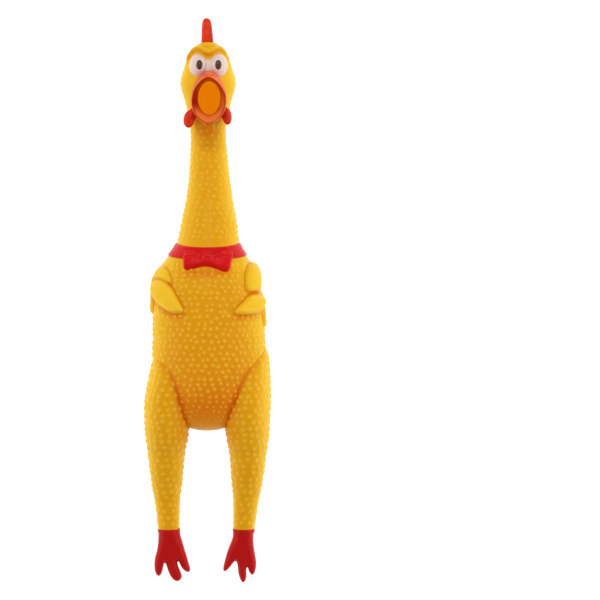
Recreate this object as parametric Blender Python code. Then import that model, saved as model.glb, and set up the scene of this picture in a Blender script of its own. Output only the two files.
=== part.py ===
"""Rubber chicken squeeze toy, lying on its back: hollow vinyl skin, raised trim and a reed squeaker.

X is across the toy, Y runs from the toes to the comb and Z is up, out of the belly.
Profiles are in millimetres of a toy 310 mm long and 70 mm across, and are scaled to the driving sizes.
"""

from math import cos, pi, radians, sin, sqrt

import bmesh
import bpy
from mathutils import Matrix, Vector

# Driving sizes
LENGTH = 0.310  # toe tips to comb tip
GIRTH = 0.070  # across the thighs, the widest place
WALL = 0.0018  # thickness of the vinyl skin
CLEAR = 0.0003  # gap between pieces that seat on each other
FLEX_CLEAR = 0.0004  # gap round the rounded end of a stretch that flexes
FLEX_STEP = 0.0005  # how far a rounded end stands in from the skin beside it
LIP_ANGLE = radians(26)  # how far the lip of one stretch stands back from the next one's pivot
AIR_HOLE_ANGLE = radians(35)  # half angle of the hole that lets air through a rounded end
COLLAR_THICK = 0.0009  # height of the collar band over the skin
WING_THICK = 0.0032  # height of a folded wing over the belly
FEATHER_THICK = 0.0022  # height of the wing's feathers on the side of the body

ALONG = LENGTH / 310
ACROSS = GIRTH / 70
TORSO_SIDES = 28
HEAD_SIDES = 24

# In profile millimetres
PANEL_CENTRE_Y = -15  # soft part of the belly that is pressed in
PANEL_HALF_WIDTH = 16.5
PANEL_HALF_LENGTH = 23.5
COLLAR_LOW_Y = 23.8  # edges of the collar band at the sides
COLLAR_HIGH_Y = 30.4
COLLAR_DIP = 3.0  # how far it sags at the front

# Sections of the skin: y, half width, lowest z, highest z
TORSO = [
    (-73.5, 5.5, 18, 31),
    (-71, 12.5, 12, 36.5),
    (-67, 17.5, 8, 41),
    (-62, 22, 4.5, 44.5),
    (-56, 26.5, 2, 47.5),
    (-49, 29.8, -1.2, 49.4),
    (-30, 31.6, -1.6, 50),
    (-6, 30.2, -1.6, 48.5),
    (10, 28, -1.4, 45.5),
    (17, 25.8, 0.2, 42.5),
    (20, 24.2, 1.0, 41),
    (23.4, 22.2, 1.7, 39.6),
    (26.8, 19.6, 2.3, 38.6),
]
NECK = [
    (30, 17.3, 3.6, 36.4),
    (35, 16.6, 4.2, 35),
    (40, 15.9, 4.3, 33.4),
    (53, 13.5, 3.4, 29.4),
    (66.3, 11.6, 2.8, 26),
    (73, 11, 2.8, 24.8),
    (86.2, 9.9, 3.1, 22.9),
    (97, 9.9, 3.1, 22.9),
]
HEAD = [
    (97, 9.9, 3.1, 22.9),
    (101, 10.8, 2.2, 24),
    (106, 12.1, 1.2, 26),
    (112.6, 14.3, 0.3, 28.8),
    (119.2, 15.7, 0, 29.7),
    (126, 14.1, 0.4, 29.9),
    (129.5, 13.2, 1.2, 30.1),
    (132.6, 12.1, 2.4, 30.2),
    (135.7, 10.4, 4.4, 28.6),
    (138.4, 7.8, 7.6, 25.6),
    (140.2, 4, 11.5, 21),
]
LEG_X = (22.0, 22.4, 22.4, 22.2, 21.6, 21.0, 20.7)
LEG = [
    (-78, 11.3, 10.5, 39),
    (-82, 10.9, 9, 36.2),
    (-88, 10.2, 7.6, 32.5),
    (-95.5, 9.5, 6.2, 28.2),
    (-108.7, 7.7, 4.4, 21.6),
    (-122, 6.6, 3.4, 17.8),
    (-128.5, 6.4, 3.4, 16.6),
]
HIP = (21.6, -64, 26)
HIP_HALF_WIDTH = 13.8
HIP_RADIUS = 18
THIGH_MEETS = radians(128)  # how far round its rounded top the thigh goes over into the leg
FOOT_PALM = [
    (20.7, -128.5, 10, 6.4, 6.4),
    (20.4, -133, 9.4, 6.6, 5.2),
    (20.0, -138, 8.4, 7.4, 4.3),
    (19.4, -143, 7.4, 8.6, 3.7),
    (19.0, -146.5, 6.6, 8.6, 3.1),
]
TOES = {
    "outer": ((21.5, -134, 8.6), (25.2, -145, 7.2), (26.6, -152.6, 4.9)),
    "middle": ((20.4, -134, 8.8), (18.9, -146, 7.6), (18.3, -155.0, 5.2)),
    "inner": ((18.8, -134, 8.6), (13.2, -144.5, 7.2), (10.6, -151.2, 4.9)),
}
TOE_SIZES = ((0.0, 3.0, 3.4), (0.55, 3.2, 3.2), (0.8, 3.0, 2.9), (0.93, 2.3, 2.2), (1.0, 0.9, 0.9))

# Wings: the hand and arm seen from the front, as x and y, and the feathers seen from the side, as y and z
WING_OUTLINE = [
    (26.5, 16.8),
    (21.5, 14.4),
    (20.0, 10),
    (20.2, 5.6),
    (17.8, 0.5),
    (14.2, -5),
    (14.4, -7.4),
    (18.5, -7.9),
    (24, -6.2),
    (28.4, -3),
    (36, 0),
    (36, 16),
]
FEATHER_OUTLINE = [
    (15.5, 20),
    (16, 30),
    (9, 37),
    (0, 35),
    (-7, 31),
    (-13, 25),
    (-14.5, 21),
    (-10, 17),
    (0, 13),
    (9, 13),
]

# Bow tie: its knot, and one loop's outline from the knot out
BOW_CENTRE = (0.8, 20.2, 39.6)
BOW_FRONT_Z = 43.2
BOW_KNOT = (3.2, 3.9, 4.2)
BOW_LOOP = [(0.5, 2.2), (5, 4.6), (10.4, 5.7), (12.4, 4), (12.6, -4), (11, -5.7), (5, -3.8), (0.5, -2.4)]
BOW_BACK_Z = 37.2  # nothing of it lies deeper than this at the middle
EDGE_ROUND = 1.05  # rounding of the edges of the bow tie and the comb

# Mouth and beak
MOUTH_Y = 109.6
MOUTH_HALF_WIDTH = 5.9
MOUTH_HALF_HEIGHT = 9.9
MOUTH_POINTED = 0.1
BEAK_Y = MOUTH_Y + 0.5
BEAK_OUTSIDE = [  # half width, half height, how pointed, level, how far the tips reach out beyond it
    (7.4, 11.4, 0.15, 22.0, 0.0),
    (8.6, 13.2, 0.2, 28.2, 4.0),
    (9.4, 15.0, 0.28, 30.5, 12.0),
]
BEAK_INSIDE = [
    (8.6, 14.2, 0.28, 31.2, 12.2),
    (7.4, 12.4, 0.2, 29.8, 8.5),
    (MOUTH_HALF_WIDTH + 0.1, MOUTH_HALF_HEIGHT + 0.1, MOUTH_POINTED, 27.4, 1.0),
    (MOUTH_HALF_WIDTH + 0.1, MOUTH_HALF_HEIGHT + 0.1, MOUTH_POINTED, 22.0, 0.0),
]

# Eyes, wattles and comb
EYE = (4.5, 128.0, 25.5)
EYE_SIZES = (6.0, 6.6, 7.4)
PUPIL = (5.3, 129.1, 32.4)
PUPIL_SIZES = (1.9, 2.6, 1.1)
WATTLE = (10.2, 99.6, 23.6)
WATTLE_SIZES = (3.1, 5.1, 3.4)
WATTLE_TURN = 12
COMB_HALF_THICKNESS = 3.0
COMB_OUTLINE = [  # z and y
    (27.5, 133.5),
    (27.6, 141),
    (25.4, 147),
    (22.6, 143.6),
    (19.4, 152.2),
    (16.4, 146.8),
    (13.0, 155.6),
    (9.8, 147.2),
    (6.2, 150.8),
    (4.6, 143.0),
    (2.2, 141.5),
    (3.6, 134.0),
]

# Squeaker
SQUEAKER_RADIUS = 7.2
SQUEAKER_WALL = 1.2
SQUEAKER_LOW = 70.5
SQUEAKER_HIGH = 86
SQUEAKER_Z = 13.4
SEAT_START = SQUEAKER_LOW + 0.6
PLUG_LENGTH = 3.2
TONGUE_LENGTH = 12.5
TONGUE_RADIUS = 3.4
SEAT_TOP = 0.4  # height of the seat's flat top over the tube's axis
CHANNEL_HALF_WIDTH = 1.3
CHANNEL_DEPTH = 2.0
REED_LENGTH = 11.6
REED_HALF_WIDTH = 2.3
REED_TIP = 1.2
REED_THICK = 0.0005
WEDGE_LENGTH = 2.9
FAR = 60  # well past the toy's surface, for the tools that cut it


def at(x, y, z):
    return Vector((x * ACROSS, y * ALONG, z * ACROSS))


class Ball:
    """Rounded end of a stretch of skin: a ball, flattened along the hinge axis where the limb is."""

    def __init__(self, x, y, z, half_width, radius):
        self.centre = at(x, y, z)
        self.half_width = half_width
        self.radius = radius

    def section(self, angle, pole, grow=0.0):
        """Section where a line from the centre makes this angle with the pole, which is +Y or -Y."""
        x, y, z = self.centre
        radius = self.radius + grow
        width = self.half_width + grow
        return (x, y + pole * radius * cos(angle), z, width * sin(angle), radius * sin(angle))


def section(y, half_width, low, high, x=0.0):
    """A profile row, as centre x, y, z and half sizes in metres."""
    middle = at(x, y, (low + high) / 2)
    return (middle.x, middle.y, middle.z, half_width * ACROSS, (high - low) / 2 * ACROSS)


def grown(row, by):
    x, y, z, width, depth = row
    return (x, y, z, width + by, depth + by)


def between(rows, y):
    """The section of a profile at this y."""
    for a, b in zip(rows, rows[1:]):
        if min(a[1], b[1]) - 1e-9 <= y <= max(a[1], b[1]) + 1e-9:
            share = (y - a[1]) / (b[1] - a[1])
            return tuple(p + (q - p) * share for p, q in zip(a, b))
    raise ValueError("outside the profile")


def stretch(rows, start, end):
    """The sections of a profile from start to end, both included."""
    low, high = sorted((start, end))
    inside = [row for row in rows if low + 0.0012 < row[1] < high - 0.0012]
    return [between(rows, start), *inside, between(rows, end)]


def around(row, sides):
    """Points round a section. The back is flat where it lies on the ground."""
    x, y, z, width, depth = row
    points = []
    for k in range(sides):
        angle = 2 * pi * (k + 0.5) / sides
        across, out = cos(angle), sin(angle)
        points.append(Vector((x + width * across, y, max(0.0, z + depth * out))))
    return points


def new_object(name, mesh, origin):
    mesh.transform(Matrix.Translation(-origin))
    obj = bpy.data.objects.new(name, mesh)
    obj.location = origin
    bpy.context.collection.objects.link(obj)
    return obj


def from_rings(name, rings, origin, looped=False):
    """Skin through rings of points: a solid with closed ends, or a looped wall round an opening."""
    bm = bmesh.new()
    rows = [[bm.verts.new(p) for p in ring] for ring in rings]
    pairs = list(zip(rows, rows[1:]))
    if looped:
        pairs.append((rows[-1], rows[0]))
    for a, b in pairs:
        for k in range(len(a)):
            n = (k + 1) % len(a)
            bm.faces.new((a[k], a[n], b[n], b[k]))
    if not looped:
        bm.faces.new(rows[0][::-1])
        bm.faces.new(rows[-1])
    bmesh.ops.triangulate(bm, faces=[f for f in bm.faces if len(f.verts) > 4])
    bmesh.ops.recalc_face_normals(bm, faces=bm.faces)
    mesh = bpy.data.meshes.new(name)
    bm.to_mesh(mesh)
    bm.free()
    return new_object(name, mesh, origin)


def blob(name, centre, half_sizes, origin, turn=0.0, segments=16, rings=10):
    """A smooth lump of these half sizes, turned about Z by this many degrees."""
    bm = bmesh.new()
    bmesh.ops.create_uvsphere(bm, u_segments=segments, v_segments=rings, radius=1.0)
    shape = Matrix.Translation(centre) @ Matrix.Rotation(radians(turn), 4, "Z")
    bm.transform(shape @ Matrix.Diagonal((*half_sizes, 1.0)))
    mesh = bpy.data.meshes.new(name)
    bm.to_mesh(mesh)
    bm.free()
    return new_object(name, mesh, origin)


def prism(name, outline, low, high, axis, origin):
    """A flat outline pushed from low to high: of z and y along X, or of x and y along Z."""
    rings = []
    for level in (low, high):
        if axis == "X":
            rings.append([Vector((level, y, z)) for z, y in outline])
        else:
            rings.append([Vector((x, y, level)) for x, y in outline])
    return from_rings(name, rings, origin)


def settle(obj):
    """Turns an object's modifiers into its mesh."""
    bpy.context.view_layer.update()
    graph = bpy.context.evaluated_depsgraph_get()
    mesh = bpy.data.meshes.new_from_object(obj.evaluated_get(graph))
    obj.modifiers.clear()
    obj.data = mesh


def combine(obj, tool, operation):
    modifier = obj.modifiers.new("shape", "BOOLEAN")
    modifier.operation = operation
    modifier.solver = "EXACT"
    modifier.object = tool
    settle(obj)
    bpy.data.objects.remove(tool)
    return obj


def cut(obj, tool):
    return combine(obj, tool, "DIFFERENCE")


def join(obj, tool):
    return combine(obj, tool, "UNION")


def keep(obj, tool):
    return combine(obj, tool, "INTERSECT")


def with_origin(obj, origin):
    """Moves an object's origin and leaves its shape where it is."""
    obj.data.transform(Matrix.Translation(obj.location - origin))
    obj.location = origin
    return obj


def with_round_edges(obj):
    bevel = obj.modifiers.new("round", "BEVEL")
    bevel.width = EDGE_ROUND * ACROSS
    bevel.segments = 2
    settle(obj)
    return obj


def finish(obj, material):
    """Shades a piece smooth but for its sharp edges, and gives it its finish."""
    obj.data.materials.clear()
    obj.data.materials.append(material)
    obj.data.shade_smooth()
    obj.data.set_sharp_from_angle(angle=radians(42))
    return obj


def finish_material(name, colour, roughness, coat=0.0):
    material = bpy.data.materials.new(name)
    material.use_nodes = True
    shader = material.node_tree.nodes["Principled BSDF"]
    shader.inputs["Base Color"].default_value = (*colour, 1.0)
    shader.inputs["Roughness"].default_value = roughness
    shader.inputs["Coat Weight"].default_value = coat
    return material


def ball_at(row, x=0.0):
    """The rounded end that fits the skin at this profile row."""
    y, half_width, low, high = row
    half_depth = (high - low) / 2
    return Ball(x, y, (low + high) / 2, half_width * ACROSS - FLEX_STEP, half_depth * ACROSS - FLEX_STEP)


TORSO_ROWS = [section(*row) for row in TORSO]
NECK_ROWS = [section(*row) for row in NECK]
HEAD_ROWS = [section(*row) for row in HEAD]
NECK_BASE = ball_at(NECK[0])
NECK_MIDDLE = ball_at(NECK[4])
HEAD_BASE = ball_at(HEAD[0])


def leg_rows(side):
    return [section(*row, x=side * x) for row, x in zip(LEG, LEG_X)]


def hip(side):
    x, y, z = HIP
    return Ball(side * x, y, z, HIP_HALF_WIDTH * ACROSS, HIP_RADIUS * ACROSS)


def knee(side):
    return ball_at(LEG[3], side * LEG_X[3])


def ankle(side):
    return ball_at(LEG[6], side * LEG_X[6])


def rounded_end(ball, pole, count, grow=0.0, stop=pi / 2):
    """Sections of a rounded end from its air hole to its widest place."""
    steps = [AIR_HOLE_ANGLE + (stop - AIR_HOLE_ANGLE) * k / count for k in range(count + 1)]
    return [ball.section(angle, pole, grow) for angle in steps]


def lip_y(ball, pole):
    """Where the stretch before this rounded end stops."""
    return ball.centre.y + pole * ball.radius * sin(LIP_ANGLE)


def socket_rows(rows, ball, pole, count=3):
    """Inner sections of a wall near its lip: clear of the next rounded end, then a wall's thickness in."""
    result = []
    lip = lip_y(ball, pole)
    reach = 0.0055 * ACROSS
    radius = ball.radius + FLEX_CLEAR
    for k in range(count + 1):
        y = lip + pole * reach * k / count
        wall = grown(between(rows, y), -WALL)
        share = sqrt(max(0.0, 1 - ((y - ball.centre.y) / radius) ** 2))
        room = (ball.centre.x, y, ball.centre.z, (ball.half_width + FLEX_CLEAR) * share, radius * share)
        result.append(spanning(wall, room))
    return result


def spanning(a, b):
    """The section that just takes in two others at the same y."""
    left, right = min(a[0] - a[3], b[0] - b[3]), max(a[0] + a[3], b[0] + b[3])
    low, high = min(a[2] - a[4], b[2] - b[4]), max(a[2] + a[4], b[2] + b[4])
    return ((left + right) / 2, a[1], (low + high) / 2, (right - left) / 2, (high - low) / 2)


def hollow_stretch(name, ball, pole, rows, next_ball, sides, material):
    """Skin from its own rounded end to the lip round the next one. Pole is +1 if its rounded end is at +Y."""
    lip = lip_y(next_ball, pole)
    tube = stretch(rows, ball.centre.y, lip)
    inner_end = socket_rows(rows, next_ball, pole)
    inner_start = inner_end[-1][1]
    inner_tube = [grown(row, -WALL) for row in stretch(rows, ball.centre.y, inner_start)]
    outer = rounded_end(ball, pole, 4) + tube
    inner = rounded_end(ball, pole, 3, -WALL)[:-1] + inner_tube[:-1] + inner_end[::-1]
    rings = [around(row, sides) for row in outer + inner[::-1]]
    return finish(from_rings(name, rings, ball.centre, looped=True), material)


def torso_shell(name):
    """The whole torso skin, open at the neck and closed between the legs."""
    outer = TORSO_ROWS
    inner = [grown(row, -WALL) for row in TORSO_ROWS[1:]]
    opening = grown(TORSO_ROWS[-1], -WALL)
    room = FLEX_STEP + FLEX_CLEAR
    width, depth = NECK_BASE.half_width + room, NECK_BASE.radius + room
    inner[-1] = (*opening[:3], max(opening[3], width), max(opening[4], depth))
    rings = [around(row, TORSO_SIDES) for row in outer + inner[::-1]]
    return from_rings(name, rings, Vector())


def torso_solid(grow):
    """The outside of the torso, pushed out by this much, for pieces that seat on it."""
    rows = [grown(row, grow) for row in TORSO_ROWS]
    x, y, z, width, depth = rows[0]
    rows[0] = (x, y - grow, z, width, depth)
    return from_rings("torso_outside", [around(row, TORSO_SIDES) for row in rows], Vector())


def ellipse(centre_y, half_width, half_length, sides=24):
    step = 2 * pi / sides
    return [(half_width * cos(k * step), centre_y + half_length * sin(k * step)) for k in range(sides)]


def panel_cutter(grow):
    """An oval column through the front of the belly."""
    outline = ellipse(
        PANEL_CENTRE_Y * ALONG, PANEL_HALF_WIDTH * ACROSS + grow, PANEL_HALF_LENGTH * ALONG + grow
    )
    return prism("panel_column", outline, 26 * ACROSS, FAR * ACROSS, "Z", Vector())


def hip_cutter(side):
    ball = hip(side)
    sizes = (ball.half_width + FLEX_CLEAR, ball.radius + FLEX_CLEAR, ball.radius + FLEX_CLEAR)
    return blob("hip_space", ball.centre, sizes, Vector(), segments=24, rings=16)


def make_torso(skin):
    torso = torso_shell("torso_skin")
    cut(torso, panel_cutter(CLEAR))
    for side in (-1, 1):
        cut(torso, hip_cutter(side))
    return finish(torso, skin)


def make_belly_panel(skin):
    panel = torso_shell("belly_panel")
    keep(panel, panel_cutter(0.0))
    return finish(with_origin(panel, at(0, PANEL_CENTRE_Y, 48)), skin)


def make_thigh(side, name, skin):
    """Upper leg: its rounded top sits in the side of the torso."""
    ball = hip(side)
    rows = leg_rows(side)
    end = knee(side)
    outer = rounded_end(ball, 1, 7, stop=THIGH_MEETS)
    tube = stretch(rows, rows[1][1], lip_y(end, 1))
    inner_end = socket_rows(rows, end, 1)
    inner_tube = [grown(row, -WALL) for row in stretch(rows, rows[1][1], inner_end[-1][1])]
    inner = rounded_end(ball, 1, 5, -WALL, THIGH_MEETS)
    inner += inner_tube[:-1] + inner_end[::-1]
    rings = [around(row, 20) for row in outer + tube + inner[::-1]]
    return finish(from_rings(name, rings, ball.centre, looped=True), skin)


def make_foot(side, name, paint):
    """Webbed foot with three toes, on the rounded end that sits in the ankle."""
    ball = ankle(side)
    top = [ball.section(radians(20 + 70 * k / 5), 1) for k in range(6)]
    palm = []
    for x, y, z, width, depth in FOOT_PALM:
        middle = at(side * x, y, z)
        palm.append((*middle, width * ACROSS, depth * ACROSS))
    foot = from_rings(name, [around(row, 14) for row in top + palm], ball.centre)
    for toe, path in TOES.items():
        join(foot, make_toe(toe, [at(side * x, y, z) for x, y, z in path]))
    return finish(foot, paint)


def make_toe(name, path):
    """One toe, from inside the palm to its rounded tip."""
    start, middle, tip = path
    rings = []
    for share, width, depth in TOE_SIZES:
        a, b = start.lerp(middle, share), middle.lerp(tip, share)
        row = (*a.lerp(b, share), width * ACROSS, depth * ACROSS)
        rings.append(around(row, 10))
    return from_rings(name, rings, Vector())


def make_collar(paint):
    """Painted band round the root of the neck. Its front sags a little."""
    room = FLEX_STEP + 1.6 * FLEX_CLEAR
    width, depth = NECK_BASE.half_width + room, NECK_BASE.radius + room
    top = (0.0, (COLLAR_HIGH_Y + 0.1) * ALONG, NECK_BASE.centre.z, width, depth)
    rows = [grown(row, CLEAR) for row in TORSO_ROWS] + [top]
    rings = []
    for share, grow in ((0, 0), (0.33, 0), (0.66, 0), (1, 0), (1, 1), (0.66, 1), (0.33, 1), (0, 1)):
        edge = COLLAR_LOW_Y + (COLLAR_HIGH_Y - COLLAR_LOW_Y) * share
        ring = []
        for k in range(TORSO_SIDES):
            angle = 2 * pi * (k + 0.5) / TORSO_SIDES
            y = (edge - COLLAR_DIP * max(0.0, sin(angle))) * ALONG
            x, y, z, width, depth = grown(between(rows, y), grow * COLLAR_THICK)
            ring.append(Vector((x + width * cos(angle), y, z + depth * sin(angle))))
        rings.append(ring)
    return finish(from_rings("collar_band", rings, Vector(), looped=True), paint)


def make_bow_tie(paint):
    """Two loops and a knot, moulded in one, on the front of the collar."""
    centre = at(*BOW_CENTRE)
    bow = blob("bow_tie", centre, [v * ACROSS for v in BOW_KNOT], Vector())
    for side in (-1, 1):
        outline = [(side * x * ACROSS + centre.x, y * ALONG + centre.y) for x, y in BOW_LOOP]
        loop = prism("bow_loop", outline, NECK_BASE.centre.z, BOW_FRONT_Z * ACROSS, "Z", Vector())
        join(bow, with_round_edges(loop))
    cut(bow, torso_solid(CLEAR + COLLAR_THICK + CLEAR))
    depth = BOW_BACK_Z * ACROSS - NECK_BASE.centre.z
    behind = [(0, y * ALONG, NECK_BASE.centre.z, FAR * ACROSS, depth) for y in (BOW_CENTRE[1] - 6, FAR)]
    cut(bow, from_rings("behind", [around(row, 24) for row in behind], Vector()))
    return finish(with_origin(bow, centre), paint)


def make_wing(side, name, skin):
    """Stub of a wing: an arm and pointed hand folded on the belly, and feathers down the side."""
    origin = at(side * 28, 8, 30)
    outline = [(side * x * ACROSS, y * ALONG) for x, y in WING_OUTLINE]
    hand = prism(name, outline, 25 * ACROSS, FAR * ACROSS, "Z", Vector())
    keep(hand, torso_solid(CLEAR + WING_THICK))
    points = [(z * ACROSS, y * ALONG) for y, z in FEATHER_OUTLINE]
    low, high = sorted((side * 18 * ACROSS, side * FAR * ACROSS))
    feathers = prism("feathers", points, low, high, "X", Vector())
    keep(feathers, torso_solid(CLEAR + FEATHER_THICK))
    join(hand, feathers)
    cut(hand, torso_solid(CLEAR))
    return finish(with_origin(hand, origin), skin)


def head_solid(grow):
    """The outside of the head, pushed out by this much."""
    rows = [grown(row, grow) for row in HEAD_ROWS]
    last = rows[-1]
    rows[-1] = (last[0], last[1] + grow, *last[2:])
    return from_rings("head_outside", [around(row, HEAD_SIDES) for row in rows], Vector())


def mouth_points(width, height, centre_y, pointed, sides=24):
    """Oval with a blunt point at the top and the bottom, as x, y and how near a point it is."""
    points = []
    for k in range(sides):
        angle = 2 * pi * (k + 0.5) / sides
        across, up = cos(angle), sin(angle)
        x = width * across * (1 - pointed * abs(up) ** 3)
        points.append((x * ACROSS, (centre_y + height * up) * ALONG, up))
    return points


def make_head(skin):
    """Head skin, open at the mouth, on the rounded end that sits in the top of the neck."""
    outer = rounded_end(HEAD_BASE, -1, 4) + HEAD_ROWS
    inner = rounded_end(HEAD_BASE, -1, 3, -WALL)[:-1] + [grown(row, -WALL) for row in HEAD_ROWS[:-1]]
    rings = [around(row, HEAD_SIDES) for row in inner[::-1] + outer]
    head = from_rings("head_skin", rings, HEAD_BASE.centre)
    mouth = mouth_points(MOUTH_HALF_WIDTH, MOUTH_HALF_HEIGHT, MOUTH_Y, MOUTH_POINTED)
    outline = [(x, y) for x, y, _ in mouth]
    cut(head, prism("mouth_hole", outline, HEAD_BASE.centre.z, FAR * ACROSS, "Z", Vector()))
    return finish(head, skin)


def beak_rings(stages, grow=0.0):
    """Rings of the beak at these stages, pushed out and back by this much."""
    rings = []
    for width, height, pointed, level, reach in stages:
        points = mouth_points(width + grow / ACROSS, height + grow / ACROSS, BEAK_Y, pointed)
        rings.append([Vector((x, y, (level + reach * up * up) * ACROSS - grow)) for x, y, up in points])
    return rings


def make_beak(paint):
    """Wide open beak: a ring that flares from the face to its two tips."""
    beak = from_rings("beak", beak_rings(BEAK_OUTSIDE + BEAK_INSIDE), at(0, MOUTH_Y, 30), looped=True)
    return finish(cut(beak, head_solid(CLEAR)), paint)


def beak_solid(grow):
    """The beak filled in, pushed out by this much, for the pieces that sit round it."""
    width, height, pointed, level, reach = BEAK_OUTSIDE[-1]
    stages = BEAK_OUTSIDE + [(width, height, pointed, level + 10, reach)]
    return from_rings("beak_outside", beak_rings(stages, grow), Vector())


def eye_ball(name, side, grow, origin):
    x, y, z = EYE
    return blob(name, at(side * x, y, z), [v * ACROSS + grow for v in EYE_SIZES], origin, rings=12)


def make_eye(side, name, paint):
    """Bulging white of an eye. The two meet at the bridge of the beak."""
    x, y, z = EYE
    eye = eye_ball(name, side, 0.0, at(side * x, y, z))
    edges = sorted((side * CLEAR / 2, side * FAR * ACROSS))
    low, high = (y - FAR) * ALONG, (y + FAR) * ALONG
    own_side = [(edges[0], low), (edges[1], low), (edges[1], high), (edges[0], high)]
    keep(eye, prism("eye_side", own_side, 0.0, FAR * ACROSS, "Z", Vector()))
    cut(eye, head_solid(CLEAR))
    cut(eye, beak_solid(CLEAR))
    return finish(eye, paint)


def make_pupil(side, name, paint):
    """Dark oval button on the front of an eye."""
    x, y, z = PUPIL
    centre = at(side * x, y, z)
    pupil = blob(name, centre, [v * ACROSS for v in PUPIL_SIZES], centre, segments=12, rings=8)
    cut(pupil, eye_ball("eye_room", side, CLEAR, Vector()))
    return finish(pupil, paint)


def make_comb(paint):
    """Serrated comb that stands along the middle of the head."""
    outline = [(z * ACROSS, y * ALONG) for z, y in COMB_OUTLINE]
    half = COMB_HALF_THICKNESS * ACROSS
    comb = with_round_edges(prism("comb", outline, -half, half, "X", at(0, 140, 14)))
    return finish(cut(comb, head_solid(CLEAR)), paint)


def make_wattle(side, name, paint):
    """Lobe that hangs from the jaw beside the beak."""
    x, y, z = WATTLE
    centre = at(side * x, y, z)
    wattle = blob(name, centre, [v * ACROSS for v in WATTLE_SIZES], centre, turn=side * WATTLE_TURN)
    cut(wattle, head_solid(CLEAR))
    cut(wattle, beak_solid(CLEAR))
    return finish(wattle, paint)


def across_squeaker(half_width, start, end):
    """A rectangle seen from the front, as x and y, in metres."""
    return [(-half_width, start), (half_width, start), (half_width, end), (-half_width, end)]


def squeaker_bar(name, start, end, radius, sides):
    """A round bar along the squeaker's axis, between two y, in metres."""
    z = SQUEAKER_Z * ACROSS
    rings = [around((0.0, y, z, radius, radius), sides) for y in (start, end)]
    return from_rings(name, rings, Vector((0.0, start, z)))


def plug_radius():
    return (SQUEAKER_RADIUS - SQUEAKER_WALL) * ACROSS - CLEAR


def make_squeaker_housing(plastic):
    """Plastic tube in the throat that holds the reed."""
    rows = []
    for y, radius in (
        (SQUEAKER_LOW, SQUEAKER_RADIUS),
        (SQUEAKER_LOW + 1.4, SQUEAKER_RADIUS + 0.5),
        (SQUEAKER_LOW + 2.2, SQUEAKER_RADIUS),
        (SQUEAKER_HIGH, SQUEAKER_RADIUS),
        (SQUEAKER_HIGH, SQUEAKER_RADIUS - SQUEAKER_WALL),
        (SQUEAKER_LOW, SQUEAKER_RADIUS - SQUEAKER_WALL),
    ):
        rows.append((0.0, y * ALONG, SQUEAKER_Z * ACROSS, radius * ACROSS, radius * ACROSS))
    rings = [around(row, 24) for row in rows]
    origin = at(0, SQUEAKER_LOW, SQUEAKER_Z)
    return finish(from_rings("squeaker_housing", rings, origin, looped=True), plastic)


def make_reed_seat(plastic):
    """Plug with an air channel under its flat top, which the reed lies over."""
    z = SQUEAKER_Z * ACROSS
    start = SEAT_START * ALONG
    end = start + TONGUE_LENGTH * ACROSS
    past = 0.001
    seat = squeaker_bar("squeaker_reed_seat", start, start + PLUG_LENGTH * ACROSS, plug_radius(), 24)
    join(seat, squeaker_bar("tongue", start + past, end, TONGUE_RADIUS * ACROSS, 20))
    over = across_squeaker(2 * plug_radius(), start - past, end + past)
    cut(seat, prism("flat_top", over, z + SEAT_TOP * ACROSS, z + 2 * plug_radius(), "Z", Vector()))
    channel = across_squeaker(CHANNEL_HALF_WIDTH * ACROSS, start - past, end - 1.5 * ACROSS)
    floor = z + (SEAT_TOP - CHANNEL_DEPTH) * ACROSS
    cut(seat, prism("channel", channel, floor, z + plug_radius(), "Z", Vector()))
    return finish(seat, plastic)


def reed_levels():
    bottom = (SQUEAKER_Z + SEAT_TOP) * ACROSS + CLEAR
    return bottom, bottom + REED_THICK


def make_reed(film):
    """Springy leaf that buzzes over the channel. Its root is held by the wedge."""
    start = SEAT_START * ALONG
    end = start + REED_LENGTH * ACROSS
    low, high = reed_levels()
    half, tip = REED_HALF_WIDTH * ACROSS, REED_TIP * ACROSS
    sides = [(-half, start), (half, start), (half, end - tip)]
    outline = sides + [(half - tip, end), (tip - half, end), (-half, end - tip)]
    root = Vector((0, start + PLUG_LENGTH * ACROSS, low))
    return finish(prism("squeaker_reed", outline, low, high, "Z", root), film)


def make_reed_wedge(plastic):
    """Wedge that clamps the root of the reed on its seat."""
    z = SQUEAKER_Z * ACROSS
    start = SEAT_START * ALONG
    end = start + WEDGE_LENGTH * ACROSS
    past = 0.001
    wedge = squeaker_bar("squeaker_reed_wedge", start, end, plug_radius(), 24)
    under = across_squeaker(2 * plug_radius(), start - past, end + past)
    cut(wedge, prism("under", under, z - 2 * plug_radius(), reed_levels()[1] + CLEAR, "Z", Vector()))
    return finish(wedge, plastic)


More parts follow.
